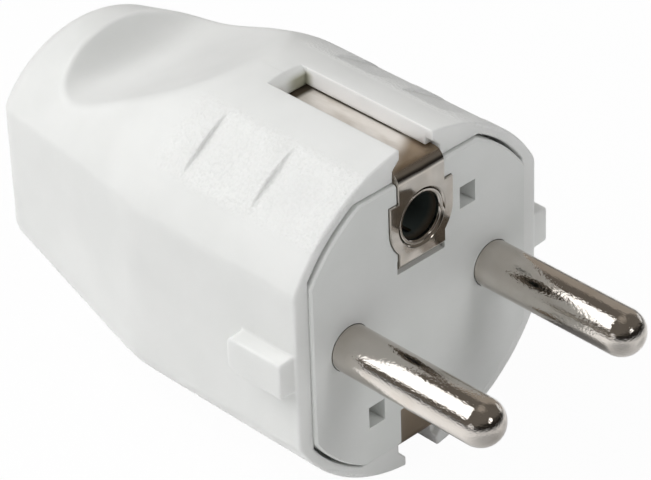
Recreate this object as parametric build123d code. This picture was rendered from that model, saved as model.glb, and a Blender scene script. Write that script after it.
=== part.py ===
from build123d import *
import os
from math import cos, hypot, radians, sin, tan

# Rewireable plug with two round pins, side earth strips and an earth socket.
# The pins point along -Y and lie side by side along X, and the earth socket is above them on +Z.
# The origin is the middle of the engagement face, between the pins. Sizes are in millimetres.

# Pins and their screw pillars
pin_diameter = 4.8
pin_length = 19.0
pin_spacing = 19.0
pillar_diameter = 7.0
pillar_front = 4.0
pillar_length = 13.0
neck_diameter = 4.2
neck_front = 0.05
wire_bore = 3.6
wire_depth = 9.0
screw_setback = 4.5
screw_flat = 0.4

# Earth strip and earth sleeve
earth_offset = 10.0
earth_bore = 4.9
sleeve_wall = 0.4
sleeve_length = 14.5
sleeve_chamfer = 0.15
sleeve_slit = 0.7
slit_front = 1.7
sleeve_setback = 0.1
strip_thickness = 0.8
strip_width = 6.0
strip_bend = 0.5
plate_proud = 0.25
eye_width = 8.2
eye_shoulder = 2.7
eye_chamfer = 0.2
tongue_drop = 4.6
tongue_reach = 3.0
tab_recess = 0.5
tab_height = 4.6

# Screws
screw_diameter = 3.0
screw_length = 4.0
clamp_screw_diameter = 2.9
clamp_screw_length = 9.0
head_diameter = 5.2
head_height = 1.9
driver_slot = 0.9
driver_depth = 1.0

# Pin carrier
carrier_depth = 7.5
carrier_chamfer = 0.2
pillar_cover = 1.25
sleeve_cover = 1.95
top_flat_half_width = 7.85
strip_seat_rise = 0.4
tower_wall = 1.55
tower_back = 18.6
core_wall = 1.9
core_floor = 4.6
boss_wall = 1.4
notch_cover = 0.3

# Latches: windows in the carrier's face and hooks on the hood
latch_x = 6.3
latch_z = 9.4
window_width = 2.1
window_height = 2.4
window_depth = 3.4
hook_thickness = 1.2
hook_catch = 0.7
hook_arm = 6.5
hook_web = 8.0

# Cable clamp
cable_diameter = 8.0
cable_squeeze = 1.0
groove_wall = 1.1
clamp_boss_wall = 1.1
clamp_length = 7.0
clamp_bar = 2.4
clamp_ear = 3.0
clamp_inset = 0.6
cradle_depth = 8.0
beam_width = 1.6
beam_height = 3.2
plate_thickness = 1.2
plate_side = 5.8
wiring_room = 6.0
entry_room = 10.3

# Hood
hood_wall = 1.7
rim_wall = 1.2
rim_setback = 0.4
rim_chamfer = 0.6
seat_ledge = 0.9
flat_shoulder = 22.9
round_shoulder = 24.5
rear_half_width = 10.62
rear_radius = 12.6
rear_rounding = 3.0
end_wall = 3.0
entry_chamfer = 0.8
slot_width = 4.4
slot_back_cover = 1.5
slot_flare = 0.9
flare_depth = 1.0
slot_chamfer = 0.6
stop_rib_depth = 1.9
stop_rib_height = 5.0
stop_rib_length = 7.0

# Guide lugs on the hood's flats
lug_height = 1.95
lug_width = 3.8
lug_draft = 0.2
lug_front = 1.0
lug_length = 6.7
lug_chamfer = 0.3

# Finger scallops
scallop_floor = 11.1
scallop_radius = 5.1
scallop_setback = 11.1
scallop_slope = 25.0
scallop_exit = 65.0

# Grip pockets
pocket_angle = 34.0
pocket_chord = 6.6
pocket_length = 5.4
pocket_ramp = 1.4
pocket_first = 8.8
pocket_pitch = 8.7
pocket_rows = 2

# Clearances
pin_fit = 0.05
mouth_fit = 0.1
arc_fit = 0.25
plate_fit = 0.08
strip_fit = 0.15
hook_fit = 0.1
cavity_gap = 0.3
entry_fit = 0.55

# How far a cut runs past the surface that it starts from
overcut = 1.0

# Sizes that follow from those above
pin_radius = pin_diameter / 2
pillar_radius = pillar_diameter / 2
pillar_back = pillar_front + pillar_length
terminal_y = pillar_back - screw_setback
terminal_z = pillar_radius - screw_flat
sleeve_radius = earth_bore / 2 + sleeve_wall
cable_radius = cable_diameter / 2

carrier_half_width = pin_spacing / 2 + pillar_radius + pillar_cover
carrier_half_height = earth_offset + sleeve_radius + sleeve_cover
carrier_radius = hypot(carrier_half_height, top_flat_half_width)
strip_seat = carrier_half_height + strip_seat_rise
strip_outside = strip_seat + strip_thickness
tower_half_width = sleeve_radius + tower_wall
web_back = tower_back + strip_thickness
plate_back = web_back + plate_thickness

body_half_width = carrier_half_width + mouth_fit + hood_wall
body_radius = carrier_radius + arc_fit + rim_wall
roof = carrier_half_height + mouth_fit - seat_ledge
slot_back = tower_back - slot_back_cover
clamp_front = plate_back + head_height + wiring_room
clamp_back = clamp_front + clamp_length
rear = clamp_back + entry_room + end_wall
clamp_screw_x = cable_radius + groove_wall + clamp_screw_diameter / 2
clamp_half_width = clamp_screw_x + clamp_screw_diameter / 2 + clamp_boss_wall
reach = 2 * body_radius


# A profile drawn in X and Z, as a slab between two places along Y
def slab(profile, front, back):
    return extrude(Plane.XZ.offset(-back) * profile, amount=back - front)


# A box given by its limits along X, Y and Z
def block(x, y, z):
    middle = ((x[0] + x[1]) / 2, (y[0] + y[1]) / 2, (z[0] + z[1]) / 2)
    return Pos(*middle) * Box(x[1] - x[0], y[1] - y[0], z[1] - z[0])


# A round bar along Y
def rod(radius, front, back, x=0.0, z=0.0):
    return slab(Pos(x, z) * Circle(radius), front, back)


# A profile drawn in Y and Z, extruded both ways along X
def side_form(points, half_width):
    return extrude(Plane.YZ * make_face(Polyline(*points, close=True)), amount=half_width, both=True)


# The same solid on the opposite side of the plug's axis
def turned_over(shape):
    return Rot(0, 180, 0) * shape


# The carrier's outline: a circle with flats at the sides, the top and the bottom
def carrier_outline(flat_grow, arc_grow):
    flats = Rectangle(2 * (carrier_half_width + flat_grow), 2 * (carrier_half_height + flat_grow))
    return Circle(carrier_radius + arc_grow) & flats


# A flat outline whose outer corners are chamfered at the front and rounded at the back
def finished_ends(outline, front_chamfer, back_radius, corners):
    face = make_face(Polyline(*outline, close=True))
    if front_chamfer > 0:
        ends = face.vertices().group_by(Axis.Y)[0].sort_by(Axis.X)
        face = chamfer(ends[-corners:], front_chamfer)
    if back_radius > 0:
        ends = face.vertices().group_by(Axis.Y)[-1].sort_by(Axis.X)
        face = fillet(ends[-corners:], back_radius)
    return face


# A round body with side flats, straight to its shoulders and tapered behind them.
# The front and rear sections are given as half width and radius.
def tapered_body(front_section, rear_section, front, back, front_chamfer=0.0, back_radius=0.0):
    width, radius = front_section
    rear_width, rear_turn = rear_section
    plan = [(-width, front), (width, front), (width, flat_shoulder), (rear_width, rear)]
    plan += [(-rear_width, rear), (-width, flat_shoulder)]
    turn = [(0, front), (radius, front), (radius, round_shoulder), (rear_turn, rear), (0, rear)]
    flat_body = extrude(finished_ends(plan, front_chamfer, back_radius, 2), amount=reach, both=True)
    round_body = revolve(finished_ends(turn, front_chamfer, back_radius, 1), Axis.Y)
    kept = block((-reach, reach), (front, back), (-reach, reach))
    return flat_body & round_body & kept


# Where the scallop's straight floor meets its round end
def scallop_tangent():
    centre_y = rear - scallop_setback
    centre_z = scallop_floor + scallop_radius
    slope = radians(scallop_slope)
    return centre_y - scallop_radius * sin(slope), centre_z - scallop_radius * cos(slope)


# The hollow of the hood behind the carrier's seat. A gap makes it the smaller room left for what it holds.
def cavity(gap):
    inset = seat_ledge + gap - mouth_fit
    front_section = (carrier_half_width - inset, carrier_radius - inset)
    rear_section = (rear_half_width - hood_wall - gap, rear_radius - hood_wall - gap)
    top = roof - gap
    low = scallop_floor - hood_wall - gap
    back = rear - end_wall - gap
    tangent_y, tangent_z = scallop_tangent()
    slope = tan(radians(scallop_slope))
    line_z = tangent_z - (hood_wall + gap) / cos(radians(scallop_slope))
    turn_y = tangent_y - (top - line_z) / slope
    low_y = tangent_y + (line_z - low) / slope
    upper = [(carrier_depth, top), (turn_y, top), (low_y, low), (back, low)]
    lower = [(y, -z) for y, z in reversed(upper)]
    room = tapered_body(front_section, rear_section, carrier_depth, back)
    return room & side_form(upper + lower, reach)


# A finger scallop across the top: a sloping floor that turns up in a round end
def scallop():
    centre_y = rear - scallop_setback
    centre_z = scallop_floor + scallop_radius
    tangent_y, tangent_z = scallop_tangent()
    leave = radians(scallop_exit)
    lowest = (centre_y, scallop_floor)
    end = (centre_y + scallop_radius * sin(leave), centre_z - scallop_radius * cos(leave))
    above = reach
    start = (tangent_y - (above - tangent_z) / tan(radians(scallop_slope)), above)
    over = (end[0] + (above - end[1]) / tan(leave), above)
    edges = Line(start, (tangent_y, tangent_z))
    edges += ThreePointArc((tangent_y, tangent_z), lowest, end)
    edges += Line(end, over)
    edges += Line(over, start)
    return extrude(Plane.YZ * make_face(edges), amount=reach, both=True)


# A shallow flat pocket on one diagonal of the hood, with a step at its back and a ramp at its front
def grip_pocket(step):
    floor = (body_radius ** 2 - (pocket_chord / 2) ** 2) ** 0.5
    ramp_back = step - pocket_length
    ramp_rise = reach - floor
    ramp_run = ramp_rise * pocket_ramp / (body_radius - floor)
    points = [(step, floor), (ramp_back, floor), (ramp_back - ramp_run, reach), (step, reach)]
    return side_form(points, pocket_chord)


# A guide lug on the flat at +X, with draft on its long sides
def guide_lug():
    root = body_half_width - hood_wall / 2
    top = body_half_width + lug_height
    half = lug_width / 2
    points = [(root, -half - lug_draft), (top, -half), (top, half), (root, half + lug_draft)]
    lug = slab(make_face(Polyline(*points, close=True)), lug_front, lug_front + lug_length)
    return chamfer(lug.faces().sort_by(Axis.X)[-1].edges(), lug_chamfer)


# The slot over the earth strip, wider just above the strip at the rim and chamfered at its back
def earth_slot():
    half = slot_width / 2
    cut = block((-half, half), (-reach, slot_back), (0, reach))
    top = (body_radius ** 2 - half ** 2) ** 0.5
    ramp_back = slot_back + slot_chamfer
    ramp = [(slot_back, top - slot_chamfer), (ramp_back, top), (ramp_back, reach), (slot_back, reach)]
    cut += side_form(ramp, half)
    wide = strip_width / 2 + strip_fit
    rise = strip_outside + strip_fit
    flare = [(-wide, rise), (wide, rise), (half, rise + slot_flare), (-half, rise + slot_flare)]
    cut += slab(make_face(Polyline(*flare, close=True)), -reach, rim_setback + flare_depth)
    channel = block((-wide, wide), (-reach, web_back + cavity_gap), (0, rise))
    return cut + channel


# A latch arm of the hood, with a web to the roof and a hook that catches in the carrier's window
def latch_arm():
    half = window_width / 2 - hook_fit
    top = latch_z + window_height / 2 - hook_fit
    arm_top = top - hook_catch
    arm_low = latch_z - window_height / 2 + hook_fit
    hook_front = window_depth - hook_thickness
    hook_root = carrier_depth + hook_arm
    hook_back = hook_root + hook_web
    points = [(hook_front, arm_low), (hook_front, arm_top), (window_depth, top), (window_depth, arm_top)]
    points += [(hook_root, arm_top), (hook_root, roof + seat_ledge), (hook_back, roof + seat_ledge)]
    points += [(hook_back, arm_low)]
    return Pos(latch_x, 0, 0) * side_form(points, half)


# A rib inside each flat that stands behind the pin's pillar and takes the push on the pin
def stop_rib():
    wall_x = body_half_width - hood_wall - seat_ledge
    side = (wall_x - stop_rib_depth, wall_x + seat_ledge)
    front = pillar_back + strip_fit
    half = stop_rib_height / 2
    return block(side, (front, front + stop_rib_length), (-half, half))


def hood():
    front_section = (body_half_width, body_radius)
    rear_section = (rear_half_width, rear_radius)
    form = tapered_body(front_section, rear_section, rim_setback, rear, rim_chamfer, rear_rounding)
    form -= slab(carrier_outline(mouth_fit, arc_fit), 0, carrier_depth)
    form -= cavity(0)
    for cut in (scallop(), earth_slot()):
        form -= cut
        form -= turned_over(cut)
    for step in [pocket_first + row * pocket_pitch for row in range(pocket_rows)]:
        for angle in (pocket_angle, -pocket_angle, 180 - pocket_angle, 180 + pocket_angle):
            form -= Rot(0, angle, 0) * grip_pocket(step)
    for addition in (guide_lug(), latch_arm(), stop_rib()):
        form += addition
        form += turned_over(addition)
    entry = rod(cable_radius + entry_fit, rear - 2 * end_wall, rear + end_wall)
    form -= entry
    mouth = form.edges().filter_by(GeomType.CIRCLE).sort_by(Axis.Y)[-1]
    return chamfer(mouth, entry_chamfer)


# The outline of the earth strip's face plate, with an eye that is round below and square above
def eye_outline(grow):
    half = strip_width / 2 + grow
    low = earth_offset - tongue_drop - strip_thickness / 2 - grow
    run = Pos(0, (low + strip_outside) / 2) * Rectangle(2 * half, strip_outside - low)
    eye_half = eye_width / 2 + grow
    shoulders = Pos(0, (eye_shoulder + grow) / 2) * Rectangle(2 * eye_half, eye_shoulder + grow)
    return run + Pos(0, earth_offset) * (shoulders + Circle(eye_half))


# The line that the earth strip follows: tongue, face plate, upper run, back web, lower run and tab
def strip_path():
    half = strip_thickness / 2
    face_y = half - plate_proud
    run_z = strip_seat + half
    web_y = tower_back + half
    tongue_z = earth_offset - tongue_drop
    tab_y = tab_recess + half
    points = [(0, face_y + tongue_reach, tongue_z), (0, face_y, tongue_z), (0, face_y, run_z)]
    points += [(0, web_y, run_z), (0, web_y, -run_z), (0, tab_y, -run_z)]
    points += [(0, tab_y, tab_height - run_z)]
    return FilletPolyline(*points, radius=strip_bend + half)


def earth_strip():
    path = strip_path()
    start = Plane(origin=path @ 0, x_dir=(1, 0, 0), z_dir=path % 0)
    strip = sweep(start * Rectangle(strip_width, strip_thickness), path=path)
    face_back = strip_thickness - plate_proud
    height = (earth_offset - eye_width / 2, earth_offset + eye_shoulder)
    strip += slab(eye_outline(0), -plate_proud, face_back) & block((-reach, reach), (-reach, reach), height)
    hole = sleeve_radius + pin_fit
    strip -= rod(hole, -reach, strip_thickness + pin_fit, 0, earth_offset)
    edge = Cone(hole, hole + eye_chamfer, eye_chamfer)
    strip -= Pos(0, eye_chamfer / 2 - plate_proud, earth_offset) * (Rot(90, 0, 0) * edge)
    strip -= rod(screw_diameter / 2 + pin_fit, tower_back - overcut, web_back + overcut)
    return strip


# A rolled sleeve with two slits that let it spring on the socket's earth pin
def earth_sleeve():
    front = sleeve_setback - plate_proud
    back = front + sleeve_length
    sleeve = rod(sleeve_radius, front, back, 0, earth_offset)
    sleeve -= rod(earth_bore / 2, front - overcut, back + overcut, 0, earth_offset)
    mouth = Cone(earth_bore / 2, earth_bore / 2 + sleeve_chamfer, sleeve_chamfer)
    sleeve -= Pos(0, front + sleeve_chamfer / 2, earth_offset) * (Rot(90, 0, 0) * mouth)
    half = sleeve_slit / 2
    height = (earth_offset - 2 * sleeve_radius, earth_offset + 2 * sleeve_radius)
    return sleeve - block((-half, half), (front + slit_front, back + overcut), height)


# A turned pin with a round tip, a neck in the carrier's face and a pillar with a wire hole and a screw hole
def pin(x):
    tip = pin_length - pin_radius
    neck = neck_diameter / 2
    points = [(0, -pin_length), (0, pillar_back), (pillar_radius, pillar_back), (pillar_radius, pillar_front)]
    points += [(neck, pillar_front), (neck, -neck_front), (pin_radius, -neck_front), (pin_radius, -tip)]
    edges = Polyline(*points)
    edges += CenterArc((0, -tip), pin_radius, 0, -90)
    turned = revolve(make_face(edges), Axis.Y)
    turned -= rod(wire_bore / 2, pillar_back - wire_depth, pillar_back + overcut)
    seat = head_diameter / 2 + pin_fit
    turned -= block((-reach, reach), (terminal_y - seat, terminal_y + seat), (terminal_z, reach))
    hole = screw_length + pin_fit
    turned -= Pos(0, terminal_y, terminal_z - hole / 2) * Cylinder(screw_diameter / 2 + pin_fit, hole)
    return Pos(x, 0, 0) * turned


# A slotted screw that points down from its head's underside at the origin
def screw(diameter, length):
    shank = Pos(0, 0, -length / 2) * Cylinder(diameter / 2, length)
    head = Pos(0, 0, head_height / 2) * Cylinder(head_diameter / 2, head_height)
    half = driver_slot / 2
    low = head_height - driver_depth
    slot = block((-head_diameter, head_diameter), (-half, half), (low, head_height + overcut))
    return shank + head - slot


def terminal_screws():
    one = screw(screw_diameter, screw_length)
    places = [Pos(x, terminal_y, terminal_z) for x in (-pin_spacing / 2, pin_spacing / 2)]
    places.append(Pos(0, plate_back, 0) * Rot(-90, 0, 0))
    return Compound(children=[place * one for place in places])


def clamp_screws():
    one = screw(clamp_screw_diameter, clamp_screw_length)
    middle = (clamp_front + clamp_back) / 2
    return Compound(children=[Pos(x, middle, clamp_ear) * one for x in (-clamp_screw_x, clamp_screw_x)])


def earth_clamp_plate():
    half = plate_side / 2
    plate = block((-half, half), (web_back, plate_back), (-half, half))
    return plate - rod(screw_diameter / 2 + pin_fit, web_back - overcut, plate_back + overcut)


# The bar over the cable: an arch with an ear for a screw on each side
def cord_clamp():
    front = clamp_front + clamp_inset
    back = clamp_back - clamp_inset
    arch = Pos(0, -cable_squeeze) * Circle(cable_radius + clamp_bar)
    ears = Pos(0, clamp_ear / 2) * Rectangle(2 * clamp_half_width, clamp_ear)
    tunnel = Pos(0, -cable_squeeze) * Circle(cable_radius)
    bar = slab(arch + ears - tunnel, front, back)
    bar &= block((-reach, reach), (front, back), (0, reach))
    for x in (-clamp_screw_x, clamp_screw_x):
        place = Pos(x, (front + back) / 2, clamp_ear)
        bar -= place * Cylinder(clamp_screw_diameter / 2 + pin_fit, 2 * clamp_ear)
        bar -= place * Pos(0, 0, reach / 2) * Cylinder(head_diameter / 2 + pin_fit, reach)
    return bar & cavity(cavity_gap)


# The cradle under the cable, on two beams beside the earth web
def cable_cradle():
    inner = strip_width / 2 + strip_fit
    cradle = block((-clamp_half_width, clamp_half_width), (clamp_front, clamp_back), (-cradle_depth, 0))
    cradle -= rod(cable_radius, clamp_front - overcut, clamp_back + overcut)
    for x in (-clamp_screw_x, clamp_screw_x):
        hole = clamp_screw_length - clamp_ear + pin_fit
        place = Pos(x, (clamp_front + clamp_back) / 2, -hole / 2)
        cradle -= place * Cylinder(clamp_screw_diameter / 2 + pin_fit, hole)
    for x in ((inner, inner + beam_width), (-inner - beam_width, -inner)):
        cradle += block(x, (carrier_depth, clamp_front), (-cradle_depth, beam_height - cradle_depth))
    return cradle & cavity(cavity_gap)


# Hollows in the back of the carrier's disc, which leave a rim and a wall round each pin, latch and the tower
def core_hollows():
    hollow = carrier_outline(-core_wall, -core_wall)
    for x in (-pin_spacing / 2, pin_spacing / 2):
        hollow -= Pos(x, 0) * Circle(pillar_radius + boss_wall)
    hollow -= Rectangle(2 * (tower_half_width + beam_width), 4 * carrier_radius)
    for side in (1, -1):
        guard = Rectangle(window_width + 2 * boss_wall, window_height + 2 * hook_catch + 2 * boss_wall)
        hollow -= Pos(side * latch_x, side * latch_z) * guard
    return slab(hollow, core_floor, carrier_depth + overcut)


# The latch window from the face, and behind it the lower passage in which the hood's arm can bend
def latch_window():
    half = window_width / 2
    low = latch_z - window_height / 2
    high = latch_z + window_height / 2
    side = (latch_x - half, latch_x + half)
    window = block(side, (-overcut, window_depth), (low, high))
    passage = block(side, (window_depth, carrier_depth + overcut), (low - hook_catch, high - hook_catch))
    return window + passage


# The wall that the earth strip is folded round, with corners rounded to the strip's bends
def strip_saddle():
    face_back = strip_thickness - plate_proud
    tab_back = strip_thickness + tab_recess
    points = [(face_back, 0), (face_back, strip_seat), (tower_back, strip_seat)]
    points += [(tower_back, -strip_seat), (tab_back, -strip_seat), (tab_back, 0)]
    wall = make_face(Polyline(*points, close=True))
    corners = [corner for corner in wall.vertices() if abs(corner.Y) > 0]
    wall = fillet(corners, strip_bend + pin_fit)
    return extrude(Plane.YZ * wall, amount=strip_width / 2, both=True)


def pin_carrier():
    disc = slab(carrier_outline(0, 0), 0, carrier_depth)
    disc = chamfer(disc.edges().group_by(Axis.Y)[0], carrier_chamfer)
    disc -= core_hollows()
    seat = strip_width / 2
    notch_top = tab_height + notch_cover - strip_seat - strip_thickness / 2
    for height in ((earth_offset, reach), (-reach, notch_top)):
        disc -= block((-seat, seat), (-overcut, carrier_depth), height)
    body = disc + slab(Rectangle(2 * tower_half_width, 2 * (roof - cavity_gap)), carrier_depth, tower_back)
    body += strip_saddle()
    body += cable_cradle()
    for x in (-pin_spacing / 2, pin_spacing / 2):
        body -= rod(pin_radius + pin_fit, -overcut, pillar_front, x)
        body -= rod(pillar_radius + pin_fit, pillar_front, carrier_depth + overcut, x)
    body -= latch_window()
    body -= turned_over(latch_window())
    body -= slab(eye_outline(plate_fit), -overcut, strip_thickness - plate_proud)
    tongue_z = earth_offset - tongue_drop
    half = strip_width / 2 + strip_fit
    tongue_half = strip_thickness / 2 + pin_fit
    tongue = (tongue_z - tongue_half, tongue_z + tongue_half)
    body -= block((-half, half), (-overcut, strip_thickness + tongue_reach), tongue)
    bend_back = strip_thickness - plate_proud + strip_bend
    body -= block((-half, half), (-overcut, bend_back), (tongue[0], tongue[1] + strip_bend))
    sleeve_end = sleeve_setback - plate_proud + sleeve_length
    body -= rod(sleeve_radius + pin_fit, -overcut, sleeve_end + pin_fit, 0, earth_offset)
    body -= block((-half, half), (-overcut, tab_recess + strip_thickness), (-reach, notch_top))
    body -= rod(screw_diameter / 2 + pin_fit, plate_back - screw_length - pin_fit, tower_back + overcut)
    return body


def build():
    half = pin_spacing / 2
    return {
        "hood": hood(),
        "pin_carrier": pin_carrier(),
        "line_pin": pin(-half),
        "neutral_pin": pin(half),
        "earth_strip": earth_strip(),
        "earth_sleeve": earth_sleeve(),
        "terminal_screws": terminal_screws(),
        "earth_clamp_plate": earth_clamp_plate(),
        "cord_clamp": cord_clamp(),
        "clamp_screws": clamp_screws(),
    }


os.makedirs("parts", exist_ok=True)
for node, shape in build().items():
    export_step(shape, f"parts/{node}.step")
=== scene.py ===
import math
import bmesh
import bpy
from mathutils import Matrix, Vector


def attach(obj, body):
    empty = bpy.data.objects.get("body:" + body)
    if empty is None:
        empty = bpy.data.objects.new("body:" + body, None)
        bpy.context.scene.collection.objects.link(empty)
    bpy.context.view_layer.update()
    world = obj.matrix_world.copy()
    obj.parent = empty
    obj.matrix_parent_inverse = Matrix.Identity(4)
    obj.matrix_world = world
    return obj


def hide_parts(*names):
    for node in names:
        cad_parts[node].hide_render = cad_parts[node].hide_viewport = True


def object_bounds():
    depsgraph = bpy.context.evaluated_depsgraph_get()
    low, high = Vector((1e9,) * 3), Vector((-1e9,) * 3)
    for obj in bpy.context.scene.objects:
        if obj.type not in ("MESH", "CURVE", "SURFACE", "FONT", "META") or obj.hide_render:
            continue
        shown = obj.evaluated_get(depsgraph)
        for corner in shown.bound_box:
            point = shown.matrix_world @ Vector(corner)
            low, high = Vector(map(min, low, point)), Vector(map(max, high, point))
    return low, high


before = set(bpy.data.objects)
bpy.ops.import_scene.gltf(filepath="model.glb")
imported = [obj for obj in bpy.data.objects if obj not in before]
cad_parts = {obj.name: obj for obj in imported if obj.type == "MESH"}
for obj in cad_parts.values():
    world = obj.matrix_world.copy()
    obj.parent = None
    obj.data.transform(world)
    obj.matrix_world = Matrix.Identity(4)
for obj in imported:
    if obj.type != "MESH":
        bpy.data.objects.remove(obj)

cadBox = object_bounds()
mm = 0.001


# One output socket of a node tree. Sums on it add Math nodes.
class Wire:
    def __init__(self, tree, socket=None):
        self.tree = tree
        self.socket = socket

    # any node: its type, its settings, then the values or wires of its sockets
    def node(self, kind, settings=None, sockets=None):
        made = self.tree.nodes.new(kind)
        for key, value in (settings or {}).items():
            setattr(made, key, value)
        for key, value in (sockets or {}).items():
            if isinstance(value, Wire):
                self.tree.links.new(value.socket, made.inputs[key])
            else:
                made.inputs[key].default_value = value
        return Wire(self.tree, made.outputs[0] if len(made.outputs) else None)

    def out(self, name):
        return Wire(self.tree, self.socket.node.outputs[name])

    def math(self, operation, *values):
        return self.node("ShaderNodeMath", {"operation": operation}, dict(enumerate(values)))

    def vector(self, operation, *values, **scale):
        sockets = dict(enumerate(values))
        sockets.update({key.capitalize(): value for key, value in scale.items()})
        return self.node("ShaderNodeVectorMath", {"operation": operation}, sockets)

    # two colours, each a wire or three numbers
    def blend(self, factor, *colours):
        first, second = ((*colour, 1) if isinstance(colour, tuple) else colour for colour in colours)
        return self.node("ShaderNodeMix", {"data_type": "RGBA"}, {0: factor, 6: first, 7: second}).out(2)

    def __add__(self, other):
        return self.math("ADD", self, other)

    __radd__ = __add__

    def __sub__(self, other):
        return self.math("SUBTRACT", self, other)

    def __rsub__(self, other):
        return self.math("SUBTRACT", other, self)

    def __mul__(self, other):
        return self.math("MULTIPLY", self, other)

    __rmul__ = __mul__

    def __truediv__(self, other):
        return self.math("DIVIDE", self, other)

    def __rtruediv__(self, other):
        return self.math("DIVIDE", other, self)

    def __neg__(self):
        return self.math("MULTIPLY", self, -1.0)

    def __abs__(self):
        return self.math("ABSOLUTE", self)

    def over(self, *others):
        top = self
        for other in others:
            top = self.math("MAXIMUM", top, other)
        return top

    def under(self, *others):
        low = self
        for other in others:
            low = self.math("MINIMUM", low, other)
        return low

    def root(self):
        return self.math("SQRT", self)

    # 0 below the first edge, 1 above the second, smooth between
    def ramp(self, low, high):
        return self.node("ShaderNodeMapRange", {"interpolation_type": "SMOOTHSTEP"},
                         {0: self, 1: low, 2: high})

    def fall(self, low, high):
        return 1 - self.ramp(low, high)


# a place as three wires, in mm
def axes(point):
    parts = point.node("ShaderNodeSeparateXYZ", {}, {0: point.vector("SCALE", point, scale=1 / mm)})
    return (parts.out(axis) for axis in "XYZ")


# camera
cameraPlace = {
    "azimuth": -43.352, "elevation": 34.08, "roll": -2.077,   # degrees
    "focal": 3602.66, "frameWidth": 651,   # pixels
    "distance": 338.967, "across": -9.086, "upward": 6.045, "sensor": 36.0,   # mm
    "clipStart": 0.01, "clipEnd": 20.0,   # metres
}


def makeCamera(place):
    turn, tilt, roll = (math.radians(place[key]) for key in ("azimuth", "elevation", "roll"))
    back = Vector((math.sin(turn) * math.cos(tilt), -math.cos(turn) * math.cos(tilt), math.sin(tilt)))
    level = Vector((math.cos(turn), math.sin(turn), 0))
    rise = back.cross(level)
    right = level * math.cos(roll) + rise * math.sin(roll)
    up = rise * math.cos(roll) - level * math.sin(roll)
    spot = (right * place["across"] + up * place["upward"] + back * place["distance"]) * mm
    data = bpy.data.cameras.new("camera")
    data.sensor_width = place["sensor"]
    data.lens = place["sensor"] * place["focal"] / place["frameWidth"]
    data.clip_start, data.clip_end = place["clipStart"], place["clipEnd"]
    camera = bpy.data.objects.new("camera", data)
    camera.matrix_world = Matrix((right, up, back)).transposed().to_4x4()
    camera.location = spot
    bpy.context.collection.objects.link(camera)
    bpy.context.scene.camera = camera


makeCamera(cameraPlace)
bpy.context.scene.view_settings.view_transform = "Standard"
print("camera set")

# materials: a pair of numbers tells where a tone begins and where it is full, in mm where it is a place


def newMaterial(name):
    material = bpy.data.materials.new(name)
    material.use_nodes = True
    material.node_tree.nodes.clear()
    nodes = Wire(material.node_tree)
    return material, nodes, nodes.node("ShaderNodeTexCoord").out("Object")


def finishMaterial(nodes, sockets):
    shader = nodes.node("ShaderNodeBsdfPrincipled", {}, sockets)
    nodes.node("ShaderNodeOutputMaterial", {}, {"Surface": shader})


def noise(nodes, place, scale, detail=2.0, stretch=None):
    if stretch:
        place = nodes.node("ShaderNodeMapping", {}, {"Vector": place, "Scale": stretch})
    return nodes.node("ShaderNodeTexNoise", {}, {"Vector": place, "Scale": scale, "Detail": detail})


def bumped(nodes, height, strength, depth):
    return nodes.node("ShaderNodeBump", {}, {"Strength": strength, "Distance": depth * mm, "Height": height})


# a roughness that wanders over the plastic
def wandering(nodes, place, finish):
    return finish["rough"] + (noise(nodes, place, finish["roughScale"]) - 0.5) * finish["roughSpread"]


# 1 in a bore along the pins' direction
def inBore(place, bore):
    x, y, z = axes(place)
    up = z - bore["height"]
    return (x * x + up * up).root().fall(*bore["side"]) * y.ramp(*bore["front"]) * y.fall(*bore["back"])


hoodFinish = {
    "colour": (0.83, 0.835, 0.82), "shade": (0.79, 0.797, 0.782), "cloudScale": 90.0, "cloud": (0.35, 0.7),
    "rough": 0.46, "roughScale": 400.0, "roughSpread": 0.12, "gloss": 0.45,
    "depth": 0.5, "depthReach": 1.2,   # how much light goes under the skin, and how far
    "grainScale": 3200.0, "grain": 0.15, "reliefDepth": 0.03,
    "gripTone": (0.851, 0.856, 0.841), "gripWear": (0.3, 0.62), "gripGrain": 4.0,
    "gripLean": 34.0, "gripHeight": (17.5, 17.8), "gripEnd": (21.0, 23.0),   # degrees, then places
    "seamSide": (0.035, 0.07), "seamFront": (17.4, 17.5), "seamBack": (20.4, 21.4),
    "slotLight": (0.96, 0.955, 0.935), "slotSide": (2.2, 2.3), "slotBack": (16.8, 17.0),   # painted light: the slot's walls lighter than the lamps leave them
    "nookShadeTone": (0.40, 0.40, 0.31), "nookX": (-0.8, 1.0), "nookSide": (2.25, 2.4),   # painted shade in the slot's far corner
    "nookFront": (15.9, 17.1), "nookBack": (17.5, 17.8), "nookTop": (17.2, 17.9),
}


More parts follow.
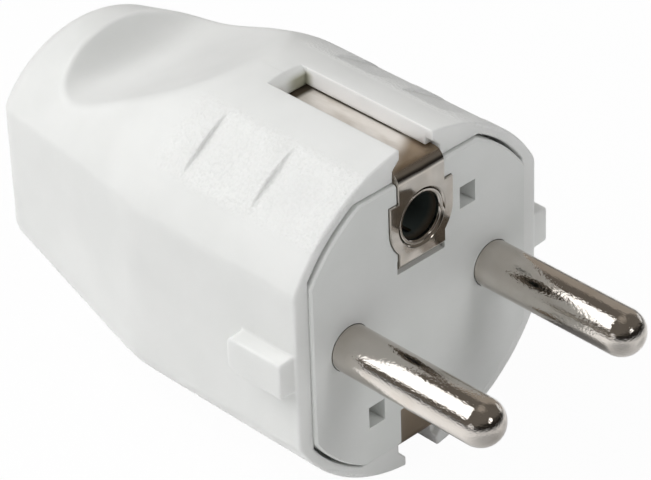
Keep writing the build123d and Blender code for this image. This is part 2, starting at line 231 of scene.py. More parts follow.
def hoodPlastic(finish):
    material, nodes, place = newMaterial("hoodPlastic")
    x, y, z = axes(place)
    side, height = abs(x), abs(z)
    cloud = noise(nodes, place, finish["cloudScale"], 3.0)
    colour = nodes.blend(cloud.ramp(*finish["cloud"]), finish["colour"], finish["shade"])
    # painted light on the slot's walls
    slot = side.fall(*finish["slotSide"]) * y.fall(*finish["slotBack"])
    colour = nodes.blend(slot, colour, finish["slotLight"])
    # painted shade in the slot's far corner
    nookShade = x.ramp(*finish["nookX"]) * y.ramp(*finish["nookFront"]) * side.fall(*finish["nookSide"])
    nookShade = nookShade * height.fall(*finish["nookTop"]) * y.fall(*finish["nookBack"])
    colour = nodes.blend(nookShade, colour, finish["nookShadeTone"])
    lean = math.radians(finish["gripLean"])
    outward = side * math.sin(lean) + height * math.cos(lean)
    grip = outward.ramp(*finish["gripHeight"]) * y.fall(*finish["gripEnd"])
    grain = noise(nodes, place, finish["grainScale"])
    colour = nodes.blend(grip * grain.ramp(*finish["gripWear"]), colour, finish["gripTone"])
    seam = side.fall(*finish["seamSide"]) * y.ramp(*finish["seamFront"]) * y.fall(*finish["seamBack"])
    relief = grain * (finish["grain"] + grip * finish["gripGrain"]) - seam
    finishMaterial(nodes, {
        "Base Color": colour, "Roughness": wandering(nodes, place, finish), "IOR": 1.5,
        "Normal": bumped(nodes, relief, 1.0, finish["reliefDepth"]), "Specular IOR Level": finish["gloss"],
        "Subsurface Weight": finish["depth"], "Subsurface Radius": (1.0, 1.0, 1.0),
        "Subsurface Scale": finish["depthReach"] * mm})
    return material


carrierFinish = {
    "colour": (0.775, 0.785, 0.77), "shade": (0.74, 0.755, 0.735), "cloudScale": 120.0, "cloud": (0.35, 0.7),
    "rough": 0.46, "roughScale": 500.0, "roughSpread": 0.12, "gloss": 0.4,
    "grainScale": 4200.0, "grain": 0.1, "grainDepth": 0.03, "boreShade": (0.03, 0.035, 0.035),
    "bore": {"height": 10.0, "side": (3.3, 3.4), "front": (1.0, 2.3), "back": (14.8, 15.0)},
}


def carrierPlastic(finish):
    material, nodes, place = newMaterial("carrierPlastic")
    cloud = noise(nodes, place, finish["cloudScale"], 3.0)
    colour = nodes.blend(cloud.ramp(*finish["cloud"]), finish["colour"], finish["shade"])
    colour = nodes.blend(inBore(place, finish["bore"]), colour, finish["boreShade"])
    grain = noise(nodes, place, finish["grainScale"], 1.0)
    finishMaterial(nodes, {
        "Base Color": colour, "Roughness": wandering(nodes, place, finish), "IOR": 1.5,
        "Normal": bumped(nodes, grain, finish["grain"], finish["grainDepth"]),
        "Specular IOR Level": finish["gloss"]})
    return material


pinFinish = {
    "colour": (0.632, 0.594, 0.552), "dull": (0.585, 0.54, 0.49), "smudgeScale": 260.0, "smudge": (0.4, 0.7),
    "rough": 0.05, "roughMore": 0.05, "roughSmudge": (0.45, 0.8),
    "peelScale": 5200.0, "peelStretch": (1.0, 0.45, 1.0), "bump": 0.85, "bumpDepth": 0.03,
    "turningScale": 7000.0, "turningStretch": (0.0, 1.0, 0.0), "turning": 0.12,   # rings round the pin
}


def pinNickel(finish):
    material, nodes, place = newMaterial("pinNickel")
    smudge = noise(nodes, place, finish["smudgeScale"], 3.0)
    colour = nodes.blend(smudge.ramp(*finish["smudge"]), finish["colour"], finish["dull"])
    rough = finish["rough"] + smudge.ramp(*finish["roughSmudge"]) * finish["roughMore"]
    peel = noise(nodes, place, finish["peelScale"], stretch=finish["peelStretch"])
    turning = noise(nodes, place, finish["turningScale"], stretch=finish["turningStretch"])
    bump = bumped(nodes, peel + turning * finish["turning"], finish["bump"], finish["bumpDepth"])
    finishMaterial(nodes, {"Base Color": colour, "Metallic": 1.0, "Roughness": rough, "Normal": bump})
    return material


stripFinish = {
    "colour": (0.60, 0.565, 0.52), "dull": (0.55, 0.50, 0.44), "smudgeScale": 300.0, "smudge": (0.35, 0.75),
    "rough": 0.09, "roughMore": 0.06, "roughSmudge": (0.4, 0.8),
    "run": (1.48, 3.7), "runLean": 0.55, "runEnd": (17.6, 18.4),   # the worn part, which lies along the body
    "worn": (0.85, 0.81, 0.765), "wornRough": 0.42, "wornMetal": 0.5,
    "stain": (0.58, 0.53, 0.465), "stains": (0.4, 0.72), "stainScale": 420.0, "stainStretch": (1.0, 0.3, 1.0),
    # painted shade where the slot's edges and rear end meet the strip, and where it stops
    "gapShade": (0.09, 0.07, 0.05), "gapShadeSide": (2.06, 2.28), "gapShadeBack": (15.8, 16.5),
    "shadeEndSide": (2.58, 2.78), "shadeEndBack": (17.5, 18.0),
    "bendBrown": (0.42, 0.33, 0.24), "bendFront": (0.1, 0.6), "bendBack": (1.48, 4.44),
    # painted shade deep inside the earth sleeve
    "sleeveShade": (0.12, 0.145, 0.138),
    "eye": {"height": 10.0, "side": (2.45, 2.55), "front": (0.2, 1.5), "back": (14.8, 15.0)},
    "waveScale": 330.0, "lineStretch": (2600.0, 120.0, 120.0), "lines": 0.002, "bump": 0.5, "bumpDepth": 0.3,
}


def stripNickel(finish):
    material, nodes, place = newMaterial("stripNickel")
    x, y, z = axes(place)
    side, back = abs(x), y - x * finish["runLean"]
    run = back.ramp(*finish["run"]) * y.fall(*finish["runEnd"])
    gapShade = side.ramp(*finish["gapShadeSide"]).over(y.ramp(*finish["gapShadeBack"]))
    shadeEnd = side.ramp(*finish["shadeEndSide"]).over(y.ramp(*finish["shadeEndBack"]))
    gapShade = gapShade * (1 - shadeEnd) * run   # painted shade: a dark line where the slot's edge meets the strip, and a band at the slot's rear end
    bend = back.fall(*finish["bendBack"]) * y.ramp(*finish["bendFront"])
    inside = inBore(place, finish["eye"])

    smudge = noise(nodes, place, finish["smudgeScale"], 3.0)
    stains = noise(nodes, place, finish["stainScale"], 4.0, finish["stainStretch"])
    worn = nodes.blend(stains.ramp(*finish["stains"]), finish["worn"], finish["stain"])
    colour = nodes.blend(smudge.ramp(*finish["smudge"]), finish["colour"], finish["dull"])
    # the start of the bend darker and browner
    colour = nodes.blend(bend, colour, finish["bendBrown"])
    colour = nodes.blend(run, colour, nodes.blend(gapShade, worn, finish["gapShade"]))
    # painted shade deep inside the earth sleeve
    colour = nodes.blend(inside, colour, finish["sleeveShade"])
    rough = finish["rough"] + smudge.ramp(*finish["roughSmudge"]) * finish["roughMore"]
    rough = rough + run.over(bend) * (finish["wornRough"] - finish["rough"])
    metal = 1 - run.over(inside) * (1 - finish["wornMetal"])   # a dull skin lies over the worn run; the painted-shade inside of the sleeve is duller too
    lines = noise(nodes, place, 1.0, stretch=finish["lineStretch"])
    relief = noise(nodes, place, finish["waveScale"], 1.0) + lines * finish["lines"]
    bump = bumped(nodes, relief, finish["bump"], finish["bumpDepth"])
    finishMaterial(nodes, {"Base Color": colour, "Metallic": metal, "Roughness": rough, "Normal": bump})
    return material


screwFinish = {"colour": (0.62, 0.63, 0.64), "dull": (0.50, 0.51, 0.50), "smudgeScale": 500.0,
               "smudge": (0.35, 0.75), "rough": 0.3, "roughMore": 0.15}


def screwSteel(finish):
    material, nodes, place = newMaterial("screwSteel")
    smudge = noise(nodes, place, finish["smudgeScale"], 3.0)
    colour = nodes.blend(smudge.ramp(*finish["smudge"]), finish["colour"], finish["dull"])
    rough = finish["rough"] + smudge * finish["roughMore"]
    finishMaterial(nodes, {"Base Color": colour, "Metallic": 1.0, "Roughness": rough})
    return material


hoodWhite = hoodPlastic(hoodFinish)
carrierWhite = carrierPlastic(carrierFinish)
pinMetal = pinNickel(pinFinish)
stripMetal = stripNickel(stripFinish)
screwMetal = screwSteel(screwFinish)
print("materials made")

# tools for the pieces


def linked(name, mesh):
    piece = bpy.data.objects.new(name, mesh)
    bpy.context.collection.objects.link(piece)
    return piece


# the piece with its modifiers made real
def settled(piece):
    bpy.context.view_layer.update()
    mesh = bpy.data.meshes.new_from_object(piece.evaluated_get(bpy.context.evaluated_depsgraph_get()))
    old = piece.data
    piece.modifiers.clear()
    piece.data = mesh
    mesh.name = piece.name
    bpy.data.meshes.remove(old)
    return piece


# a geometry tree with a named input for each size
def sizedTree(name, sizes):
    tree = bpy.data.node_groups.new(name, "GeometryNodeTree")
    tree.interface.new_socket("Geometry", in_out="OUTPUT", socket_type="NodeSocketGeometry")
    for key in sizes:
        tree.interface.new_socket(key, in_out="INPUT", socket_type="NodeSocketFloat")
    tree.interface.new_socket("material", in_out="INPUT", socket_type="NodeSocketMaterial")
    inlet = Wire(tree).node("NodeGroupInput")
    return tree, {key: inlet.out(key) for key in (*sizes, "material")}


def treeEnd(geometry, material):
    geometry = geometry.node("GeometryNodeRealizeInstances", {}, {0: geometry})
    geometry = geometry.node("GeometryNodeSetMaterial", {}, {"Geometry": geometry, "Material": material})
    geometry.node("NodeGroupOutput", {}, {0: geometry})


def grown(name, tree, sizes, material):
    piece = linked(name, bpy.data.meshes.new(name))
    modifier = piece.modifiers.new("shape", "NODES")
    modifier.node_group = tree
    for item in tree.interface.items_tree:
        if item.in_out == "INPUT":
            modifier[item.identifier] = sizes.get(item.name, material)
    return settled(piece)


edgeSettings = {"segments": 2, "merge": 0.002, "flat": 0.3, "corner": 30.0, "sharp": 38.0}   # mm, degrees


# a CAD node's copy with its edges broken
def softened(node, name, material, width):
    flat, corner, sharp = (math.radians(edgeSettings[key]) for key in ("flat", "corner", "sharp"))
    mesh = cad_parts[node].data.copy()
    form = bmesh.new()
    form.from_mesh(mesh)
    bmesh.ops.remove_doubles(form, verts=form.verts, dist=edgeSettings["merge"] * mm)
    bmesh.ops.dissolve_limit(form, angle_limit=flat, verts=form.verts, edges=form.edges)
    form.to_mesh(mesh)
    form.free()
    mesh.materials.clear()
    mesh.materials.append(material)
    piece = linked(name, mesh)
    edge = piece.modifiers.new("edge", "BEVEL")
    edge.width = width * mm
    edge.segments = edgeSettings["segments"]
    edge.limit_method = "ANGLE"
    edge.angle_limit = corner
    edge.use_clamp_overlap = True
    settled(piece)
    piece.data.shade_smooth()
    piece.data.set_sharp_from_angle(angle=sharp)
    weighted = piece.modifiers.new("normals", "WEIGHTED_NORMAL")
    weighted.keep_sharp = True
    return settled(piece)


def mounted(piece, slot, *nodes):
    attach(piece, "root")
    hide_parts(*nodes)
    print(piece.name, len(piece.data.polygons), "faces")


# hood: one moulding, given by its distance field
hoodSizes = {
    "bodyRadius": 18.2, "bodyHalfWidth": 16.05, "rimFront": 0.4, "rear": 48.799,
    "roundShoulder": 24.5, "flatShoulder": 22.9, "rearRadius": 12.6, "rearHalfWidth": 10.62,
    "rimRound": 0.18, "rearRound": 3.0, "cornerEdge": 0.25, "creaseEdge": 0.3,
    "scallopY": 37.7, "scallopZ": 16.2, "scallopRadius": 5.1, "scallopSlope": 25.0, "scallopExit": 65.0,
    "scallopEdge": 0.4,
    "pocketAngle": 34.0, "pocketFloor": 17.83, "pocketLength": 5.4, "pocketRamp": 1.4,
    "pocketFirst": 9.25, "pocketPitch": 8.98, "pocketEdge": 0.06,
    "slotHalf": 2.2, "slotBack": 17.1, "slotLip": 17.466, "slotEdge": 0.05,
    "channelHalf": 3.15, "channelTop": 16.15, "channelBack": 19.7, "flareDepth": 1.4, "flareRise": 0.9,
    "lugTop": 18.0, "lugHalf": 1.9, "lugDraft": 0.07, "lugFront": 0.62, "lugBack": 7.7, "lugEdge": 0.25,
    "lugBackEdge": 0.8, "lugRoot": 0.6, "lugFillet": 0.2,
    "mouthHalfWidth": 14.25, "mouthHalfHeight": 14.98, "mouthRadius": 17.08, "mouthDepth": 7.5,
    "mouthEdge": 0.06,
    "roomHalfWidth": 13.45, "roomRadius": 15.95, "roomRoof": 14.0, "roomLow": 9.4, "roomBack": 45.8,
    "roomLap": 0.5, "wall": 1.7, "entryRadius": 4.55, "entryFront": 42.8, "entryEdge": 0.8,
    "latchX": 6.3, "latchHalf": 0.95, "latchLow": 8.3, "latchTop": 9.8, "hookTop": 10.5,
    "hookFront": 2.2, "hookBack": 3.4, "webFront": 14.0, "webBack": 22.0,
    "ribInside": 11.55, "ribFront": 17.15, "ribBack": 24.15, "ribHalf": 2.5,
}
hoodMesh = {
    "low": (-18.6, -0.2, -18.8), "high": (18.6, 49.4, 18.8), "grain": 0.15,   # the field's box and its cells
    "triangles": 190000, "seenDepth": 3.0, "insideEdge": -0.05, "thinned": 0.92,   # hidden walls stay coarse
}


# what lies in both shapes, with a true round where they meet squarely
def rounded(first, second, radius):
    corner = ((first + radius).over(0.0), (second + radius).over(0.0))
    return first.over(second).under(-radius) + (corner[0] * corner[0] + corner[1] * corner[1]).root()


# a round that fades into both walls and is as deep as the true one
def eased(first, second, radius):
    reach = radius * (6 - 3 * math.sqrt(2))
    near = (1 - abs(first - second) / reach).over(0.0)
    return first.over(second) + near * near * near * (reach / 6)


# shapes that meet at any angle, with the edge broken over a small width
def both(first, second, edge):
    near = (edge - abs(first - second)).over(0.0)
    return first.over(second) + near * near / (edge * 4)


def either(first, second, edge):
    return -both(-first, -second, edge)


# a straight wall that tapers towards the rear section
def tapered(reach, y, shoulder, front, end, rear):
    fall = (front - end) / (rear - shoulder)
    return (reach - front + fall * (y - shoulder)) / (fall * fall + 1).root()


# the closed skin where a distance field is zero
def fieldSkin(field, low, high, grain):
    low, high = Vector(low), Vector(high)
    counts = [int(round(reach / grain)) + 1 for reach in high - low]
    cells = field.node("GeometryNodeVolumeCube", {}, {
        "Density": -field, "Background": -1.0, "Min": low * mm, "Max": high * mm,
        "Resolution X": counts[0], "Resolution Y": counts[1], "Resolution Z": counts[2]})
    skin = field.node("GeometryNodeVolumeToMesh", {"resolution_mode": "GRID"},
                      {"Volume": cells, "Threshold": 0.0, "Adaptivity": 0.0})
    normal = field.node("GeometryNodeInputNormal")
    for again in range(3):   # each pass pulls the skin onto the true surface
        shift = field.vector("SCALE", normal, scale=field * -mm)
        skin = field.node("GeometryNodeSetPosition", {}, {"Geometry": skin, "Offset": shift})
    return field.node("GeometryNodeSetShadeSmooth", {}, {"Geometry": skin})


def hoodField(s, point):
    x, y, z = axes(point)
    side, height = abs(x), abs(z)
    across = (x * x + z * z).root()

    def turn(angle):
        angle = angle * (math.pi / 180)
        return angle.math("SINE", angle), angle.math("COSINE", angle)

    # outside: round with side flats, tapered behind the shoulders
    taper = tapered(across, y, s["roundShoulder"], s["bodyRadius"], s["rearRadius"], s["rear"])
    form = both(across - s["bodyRadius"], taper, s["creaseEdge"])
    taper = tapered(side, y, s["flatShoulder"], s["bodyHalfWidth"], s["rearHalfWidth"], s["rear"])
    form = both(form, both(side - s["bodyHalfWidth"], taper, s["creaseEdge"]), s["cornerEdge"])
    form = rounded(form, y - s["rear"], s["rearRound"])
    form = rounded(form, s["rimFront"] - y, s["rimRound"])

    # finger scallops
    slope, level = turn(s["scallopSlope"])
    rise, run = turn(s["scallopExit"])
    overY, overZ = y - s["scallopY"], height - s["scallopZ"]
    floor = -(overY * slope + overZ * level + s["scallopRadius"])
    end = overY * rise - overZ * run - s["scallopRadius"]
    form = both(form, -eased(floor, end, s["scallopRadius"]), s["scallopEdge"])

    # grip pockets, a row of two on each diagonal
    lean, stand = turn(s["pocketAngle"])
    outward = side * lean + height * stand
    sink = (s["bodyRadius"] - s["pocketFloor"]) / s["pocketRamp"]
    pockets = None
    for row in range(2):
        step = s["pocketFirst"] + s["pocketPitch"] * row
        ramp = s["pocketFloor"] + sink * (step - s["pocketLength"] - y) - outward
        pocket = (s["pocketFloor"] - outward).over(y - step, ramp, -outward)
        pockets = pocket if pockets is None else pockets.under(pocket)
    form = both(form, -pockets, s["pocketEdge"])

    # guide lugs
    lug = side * s["lugDraft"] + height - s["lugHalf"] - s["lugTop"] * s["lugDraft"]
    lug = both(both(lug, s["lugFront"] - y, s["lugEdge"]), y - s["lugBack"], s["lugBackEdge"])
    lug = both(lug, side - s["lugTop"], s["lugEdge"]).over(s["mouthHalfWidth"] + s["lugRoot"] - side)
    form = either(form, lug, s["lugFillet"])

    # earth slots
    lip = (s["slotLip"] + y - s["slotBack"] - height) * math.sqrt(0.5)
    slot = (side - s["slotHalf"]).over((y - s["slotBack"]).under(lip))
    lean = (s["channelHalf"] - s["slotHalf"]) / s["flareRise"]
    flare = (side - s["channelHalf"] + (height - s["channelTop"]) * lean) / (lean * lean + 1).root()
    flare = flare.over(side - s["channelHalf"], y - s["flareDepth"])
    channel = (side - s["channelHalf"]).over(height - s["channelTop"], y - s["channelBack"])
    form = both(form, -slot.under(flare, channel), s["slotEdge"])

    # mouth for the carrier, and the room behind it
    mouth = (side - s["mouthHalfWidth"]).over(height - s["mouthHalfHeight"], across - s["mouthRadius"],
                                              y - s["mouthDepth"])
    form = both(form, -mouth, s["mouthEdge"])
    room = (side - s["roomHalfWidth"]).over(
        across - s["roomRadius"], y - s["roomBack"], s["mouthDepth"] - s["roomLap"] - y,
        tapered(side, y, s["flatShoulder"], s["roomHalfWidth"], s["rearHalfWidth"] - s["wall"], s["rear"]),
        tapered(across, y, s["roundShoulder"], s["roomRadius"], s["rearRadius"] - s["wall"], s["rear"]),
        (height - s["roomRoof"]).over((height - s["roomLow"]).under(s["wall"] - floor)))
    form = form.over(-room)
    entry = (across - s["entryRadius"]).over(s["entryFront"] - y)
    form = both(form, -entry, s["entryEdge"])

    # latch arms, one on each diagonal, and the ribs behind the pins
    aside = abs(x * z.math("SIGN", z) - s["latchX"]) - s["latchHalf"]
    low = s["latchLow"] - height
    hook = ((height - s["latchTop"]) - (y - s["hookFront"])
            * ((s["hookTop"] - s["latchTop"]) / (s["hookBack"] - s["hookFront"]))).over(
        s["hookFront"] - y, y - s["hookBack"])
    arm = (height - s["latchTop"]).over(s["hookFront"] - y, y - s["webBack"])
    web = (s["webFront"] - y).over(y - s["webBack"], height - s["mouthHalfHeight"])
    form = form.under(hook.under(arm, web).over(aside, low))
    rib = (s["ribInside"] - side).over(side - s["mouthHalfWidth"], s["ribFront"] - y, y - s["ribBack"],
                                       height - s["ribHalf"])
    return form.under(rib), room.under(mouth)


def hoodTree(sizes):
    tree, s = sizedTree("hoodMoulding", sizes)
    nodes = Wire(tree)
    point = nodes.node("GeometryNodeInputPosition")
    field, inside = hoodField(s, point)
    skin = fieldSkin(field, hoodMesh["low"], hoodMesh["high"], hoodMesh["grain"])
    skin = nodes.node("GeometryNodeStoreNamedAttribute", {}, {
        "Geometry": skin, "Name": "inside", "Value": -inside})
    treeEnd(skin, s["material"])
    return tree


def makeHood():
    hood = grown("plugHood", hoodTree(hoodSizes), hoodSizes, hoodWhite)
    print("hood raw", len(hood.data.vertices), "vertices")
    depth = hood.data.attributes["inside"].data
    flags = [value.value > hoodMesh["insideEdge"] and point.co.y > hoodMesh["seenDepth"] * mm
             for value, point in zip(depth, hood.data.vertices)]
    hidden = hood.vertex_groups.new(name="hidden")
    hidden.add([index for index, flag in enumerate(flags) if flag], 1.0, "ADD")
    share = sum(flags) / len(flags)
    for ratio, group in ((1 - hoodMesh["thinned"] * share, "hidden"), (None, "")):
        hood.data.calc_loop_triangles()
        thin = hood.modifiers.new("thin", "DECIMATE")
        thin.ratio = ratio or min(1, hoodMesh["triangles"] / len(hood.data.loop_triangles))
        thin.vertex_group = group
        settled(hood)
    weighted = hood.modifiers.new("normals", "WEIGHTED_NORMAL")
    weighted.keep_sharp = False
    settled(hood)
    hood.vertex_groups.clear()
    hood.data.attributes.remove(hood.data.attributes["inside"])
    mounted(hood, "hood_plastic", "hood")


makeHood()

# pins: turned, with a round tip and a pillar
pinSizes = {
    "aside": 9.5, "radius": 2.4, "length": 19.0, "neck": 2.1, "neckFront": -0.01,
    "pillar": 3.5, "front": 4.0, "back": 17.0,
    "bore": 1.8, "boreEnd": 8.0, "edge": 0.12, "neckStep": 0.02, "merge": 0.001,
    "tipSteps": 24, "rings": (-12.0, -8.0, -4.0, -1.0), "around": 160, "sharp": 40.0,
}


def makePin(name, node, x):
    s = pinSizes
    tip = s["radius"] - s["length"]
    profile = [(s["radius"] * math.sin(a), tip - s["radius"] * math.cos(a))
               for a in (math.pi / 2 * i / s["tipSteps"] for i in range(s["tipSteps"] + 1))]
    e = s["edge"]
    profile += [(s["radius"], y) for y in (*s["rings"], s["neckFront"] - s["neckStep"])]
    profile += [(s["neck"], s["neckFront"]), (s["neck"], s["front"])]
    profile += [(s["pillar"] - e, s["front"]), (s["pillar"], s["front"] + e)]
    profile += [(s["pillar"], s["back"] - e), (s["pillar"] - e, s["back"]), (s["bore"] + e, s["back"])]
    profile += [(s["bore"], s["back"] - e), (s["bore"], s["boreEnd"]), (0, s["boreEnd"])]
    form = bmesh.new()
    rings = [form.verts.new((x * mm + r * mm, y * mm, 0)) for r, y in profile]
    edges = [form.edges.new(pair) for pair in zip(rings, rings[1:])]
    bmesh.ops.spin(form, geom=rings + edges, cent=(x * mm, 0, 0), axis=(0, 1, 0), angle=2 * math.pi,
                   steps=s["around"], use_merge=True)
    bmesh.ops.remove_doubles(form, verts=form.verts, dist=s["merge"] * mm)
    bmesh.ops.recalc_face_normals(form, faces=form.faces)
    mesh = bpy.data.meshes.new(name)
    form.to_mesh(mesh)
    form.free()
    mesh.materials.append(pinMetal)
    mesh.shade_smooth()
    mesh.set_sharp_from_angle(angle=math.radians(s["sharp"]))
    mounted(linked(name, mesh), "pin_metal", node)


makePin("linePin", "line_pin", -pinSizes["aside"])
makePin("neutralPin", "neutral_pin", pinSizes["aside"])

# screws: one slotted, threaded screw for each kind, set in rows
screwSizes = {"shank": 1.5, "length": 4.0, "pitch": 0.7, "threadDepth": 0.3, "pointEdge": 0.5,
              "head": 2.6, "headHeight": 1.9, "headEdge": 0.5, "slotHalf": 0.45, "slotDepth": 1.0,
              "slotEdge": 0.1, "root": 0.57}
screwMesh = {"margin": 0.3, "grain": 0.1, "flankEase": 0.75, "kept": 0.3}   # the field's box and its faces
screwRows = {   # first place, step, count and tilt in degrees
    "terminalScrews": ("terminal_screws", {}, (
        ((-9.5, 12.5, 3.1), (19.0, 0, 0), 2, 0), ((0, 20.6, 0), (0, 0, 0), 1, -90))),
    "clampScrews": ("clamp_screws", {"shank": 1.45, "length": 9.0}, (
        ((-6.55, 32.0, 3.0), (13.1, 0, 0), 2, 0),)),
}


# it points down from its head's underside
def screwField(s, point):
    x, y, z = axes(point)
    across = (x * x + y * y).root()
    turns = z / s["pitch"] - x.math("ARCTAN2", y, x) / (2 * math.pi)
    groove = abs(turns.math("FRACT", turns) * 2 - 1)
    shank = (across - s["shank"] + groove * s["threadDepth"]) * screwMesh["flankEase"]
    cone = (across - z - s["shank"] - s["length"] + s["pointEdge"]) * math.sqrt(0.5)
    shank = shank.over(cone, z - s["root"], -z - s["length"])
    middle = s["headHeight"] * 0.5
    head = both(across - s["head"], abs(z - middle) - middle, s["headEdge"])
    slot = (abs(y) - s["slotHalf"]).over(s["headHeight"] - s["slotDepth"] - z)
    return both(head, -slot, s["slotEdge"]).under(shank)


def screwTree(name, sizes, rows):
    tree, s = sizedTree(name, sizes)
    nodes = Wire(tree)
    field = screwField(s, nodes.node("GeometryNodeInputPosition"))
    margin = screwMesh["margin"]
    reach, low, high = sizes["head"] + margin, -sizes["length"] - margin, sizes["headHeight"] + margin
    one = fieldSkin(field, (-reach, -reach, low), (reach, reach, high), screwMesh["grain"])
    gathered = nodes.node("GeometryNodeJoinGeometry")
    for first, step, count, tilt in rows:
        line = nodes.node("GeometryNodeMeshLine", {}, {
            "Count": count, "Start Location": Vector(first) * mm, "Offset": Vector(step) * mm})
        placed = nodes.node("GeometryNodeInstanceOnPoints", {}, {
            "Points": line, "Instance": one, "Rotation": (math.radians(tilt), 0, 0)})
        tree.links.new(placed.socket, gathered.socket.node.inputs[0])
    treeEnd(gathered, s["material"])
    return tree


def makeScrews(name, node, changes, rows):
    sizes = {**screwSizes, **changes}
    screws = grown(name, screwTree(name, sizes, rows), sizes, screwMetal)
    thin = screws.modifiers.new("thin", "DECIMATE")
    thin.ratio = screwMesh["kept"]
    mounted(settled(screws), "screw_steel", node)


for name, row in screwRows.items():
    makeScrews(name, *row)

# the other pieces keep their CAD form, with broken edges
softEdges = {
    "pin_carrier": ("carrierMoulding", carrierWhite, 0.1, "carrier_plastic"),
    "earth_strip": ("earthStrip", stripMetal, 0.07, "strip_metal"),
    "earth_sleeve": ("earthSleeve", stripMetal, 0.05, "strip_metal"),
    "earth_clamp_plate": ("earthClampPlate", screwMetal, 0.1, "screw_steel"),
    "cord_clamp": ("cordClamp", carrierWhite, 0.15, "carrier_plastic"),
}
for node, (name, material, width, slot) in softEdges.items():
    mounted(softened(node, name, material, width), slot, node)

# floor, background and light
stageSizes = {
    "floorHalf": 2.0, "gap": 0.02, "grey": 0.86, "shadow": 0.035, "lightPool": (0.0, 0.2), "lightPoolFall": 0.85,
    "mirrored": 1.32,   # how bright the floor looks to the bright metal; the lamps' shadow of the plug stays on it
    "paintedShadows": ((4, 4, 8, 18, 0.3), (-14, -36, 8, 40, 0.5), (30, -33, 4, 17, 0.66)),   # painted shadows in the floor the metal sees: place, radii, level
}


def makeFloor(sizes):
    half = sizes["floorHalf"]
    low = cadBox[0].z - sizes["gap"] * mm
    mesh = bpy.data.meshes.new("floor")
    mesh.from_pydata([(-half, -half, low), (half, -half, low), (half, half, low), (-half, half, low)], [],
                     [(0, 1, 2, 3)])
    floor = linked("floor", mesh)
    material, nodes, place = newMaterial("floorWhite")
    path = nodes.node("ShaderNodeLightPath")
    # painted light: to the metal the floor is a pool of light that fades away from the plug
    away = nodes.vector("LENGTH", place).out("Value").ramp(*sizes["lightPool"])
    mirrored = path.out("Is Glossy Ray").over(path.out("Is Transmission Ray"))
    tone = sizes["mirrored"] * (1 - away * sizes["lightPoolFall"])
    # painted shadows round the plug, seen only in the metal
    for x, y, inner, outer, level in sizes["paintedShadows"]:
        reach = nodes.vector("DISTANCE", place, (x * mm, y * mm, low)).out("Value")
        tone = tone * (level + reach.ramp(inner * mm, outer * mm) * (1 - level))
    tone = sizes["grey"] + mirrored * (tone - sizes["grey"])
    cover = nodes.node("ShaderNodeBsdfDiffuse", {}, {"Color": tone})
    glow = nodes.node("ShaderNodeEmission", {}, {"Color": (1, 1, 1, 1), "Strength": 1.0})
    seen = path * (1 - sizes["shadow"])
    shade = nodes.node("ShaderNodeMixShader", {}, {0: seen, 1: cover, 2: glow})
    nodes.node("ShaderNodeOutputMaterial", {}, {"Surface": shade})
    mesh.materials.append(material)


airSizes = {"level": 0.21}   # how much light comes from all sides


def makeWorld(level):
    world = bpy.data.worlds.new("studio")
    world.use_nodes = True
    world.node_tree.nodes.clear()
    nodes = Wire(world.node_tree)
    path = nodes.node("ShaderNodeLightPath")
    seen = path.over(path.out("Is Glossy Ray"), path.out("Is Transmission Ray"))
    air = nodes.node("ShaderNodeBackground", {}, {
        "Color": (1, 1, 1, 1), "Strength": level + seen * (1 - level)})
    nodes.node("ShaderNodeOutputWorld", {}, {"Surface": air})
    bpy.context.scene.world = world


# for things that only the bright metal shows
def mirrorOnly(thing, material):
    thing.data.materials.append(material)
    for ray in ("camera", "diffuse", "transmission", "volume_scatter", "shadow"):
        setattr(thing, "visible_" + ray, False)


# a dark vault over the set that only the metal sees; its glow is painted reflection of the room
vaultSizes = {"radius": 1.5, "left": -6.0, "right": 6.0, "low": -0.7, "high": 180.7, "steps": 24,
              "dark": 0.16, "light": 0.40, "colour": (1.0, 0.9, 0.79),
              "patch": (0.1, 0.0, 1.5), "patchReach": (0.2, 0.65),
              "cornerX": (0.7, 1.0), "cornerY": (0.0, 0.5),   # the far right corner is lighter
              "lowY": (-0.3, 0.2), "lowZ": (0.3, 1.0), "lowFall": 0.85}   # darker in front, near the floor


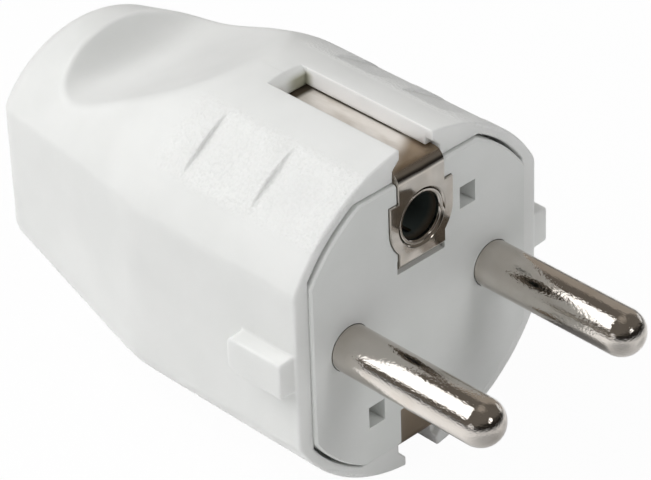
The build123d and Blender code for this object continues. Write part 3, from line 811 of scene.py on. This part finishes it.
def makeVault(sizes):
    rows = []
    for step in range(sizes["steps"] + 1):
        turn = math.radians(sizes["low"] + (sizes["high"] - sizes["low"]) * step / sizes["steps"])
        rows.append((sizes["radius"] * math.cos(turn), sizes["radius"] * math.sin(turn)))
    points = [(sizes[side], y, z) for y, z in rows for side in ("left", "right")]
    faces = [(2 * i, 2 * i + 1, 2 * i + 3, 2 * i + 2) for i in range(sizes["steps"])]
    mesh = bpy.data.meshes.new("vault")
    mesh.from_pydata(points, [], faces)
    vault = linked("vault", mesh)
    material, nodes, place = newMaterial("vaultGrey")
    parts = nodes.node("ShaderNodeSeparateXYZ", {}, {0: place})
    x, y, z = (parts.out(axis) for axis in "XYZ")
    corner = x.ramp(*sizes["cornerX"]) * y.ramp(*sizes["cornerY"])
    patch = nodes.vector("DISTANCE", place, sizes["patch"]).out("Value").fall(*sizes["patchReach"])
    low = y.fall(*sizes["lowY"]) * z.fall(*sizes["lowZ"])
    level = sizes["dark"] + corner.over(patch) * (sizes["light"] - sizes["dark"])
    level = level * (1 - low * sizes["lowFall"])
    glow = nodes.node("ShaderNodeEmission", {}, {"Color": sizes["colour"] + (1,), "Strength": level})
    nodes.node("ShaderNodeOutputMaterial", {}, {"Surface": glow})
    mirrorOnly(vault, material)


# the light card that draws the bright stripe along each pin
cardSizes = {"aim": (-0.49, 0.602, 0.63), "distance": 0.7, "across": 0.304, "deep": 0.2, "level": 2.2}


def makeCard(sizes):
    mesh = bpy.data.meshes.new("card")
    aim = Vector(sizes["aim"]).normalized()
    across = Vector((aim.z, 0, -aim.x)).normalized() * sizes["across"]
    deep = aim.cross(across).normalized() * sizes["deep"]
    middle = aim * sizes["distance"]
    points = [middle - across - deep, middle + across - deep, middle + across + deep, middle - across + deep]
    mesh.from_pydata(points, [], [(0, 1, 2, 3)])
    material, nodes, place = newMaterial("cardWhite")
    glow = nodes.node("ShaderNodeEmission", {}, {"Color": (1, 1, 1, 1), "Strength": sizes["level"]})
    nodes.node("ShaderNodeOutputMaterial", {}, {"Surface": glow})
    mirrorOnly(linked("card", mesh), material)


# place and size in metres, power in watts; each lamp looks at the middle of the plug
lampAim = (0, 0.015, 0)
studioLamps = {
    "keyLamp": {"place": (-0.42, 0.05, 0.42), "size": 0.4, "power": 1.42, "mirrored": False},
    "frontLamp": {"place": (0.13, -0.46, 0.38), "size": 0.3, "power": 0.72, "mirrored": False},
    "backLamp": {"place": (-0.14, 0.46, 0.40), "size": 0.4, "power": 1.85, "mirrored": False},
    "sparkLamp": {"place": (0.045, -0.53, 0.30), "size": 0.1, "power": 0.16, "mirrored": True},
}


def makeLamp(name, setting):
    data = bpy.data.lights.new(name, "AREA")
    data.shape = "DISK"
    data.size = setting["size"]
    data.energy = setting["power"]
    lamp = bpy.data.objects.new(name, data)
    lamp.location = setting["place"]
    lamp.rotation_euler = (Vector(lampAim) - lamp.location).to_track_quat("-Z", "Y").to_euler()
    lamp.visible_glossy = setting["mirrored"]
    bpy.context.collection.objects.link(lamp)


makeFloor(stageSizes)
makeVault(vaultSizes)
makeCard(cardSizes)
makeWorld(airSizes["level"])
for lamp in studioLamps.items():
    makeLamp(*lamp)
print("stage lit")
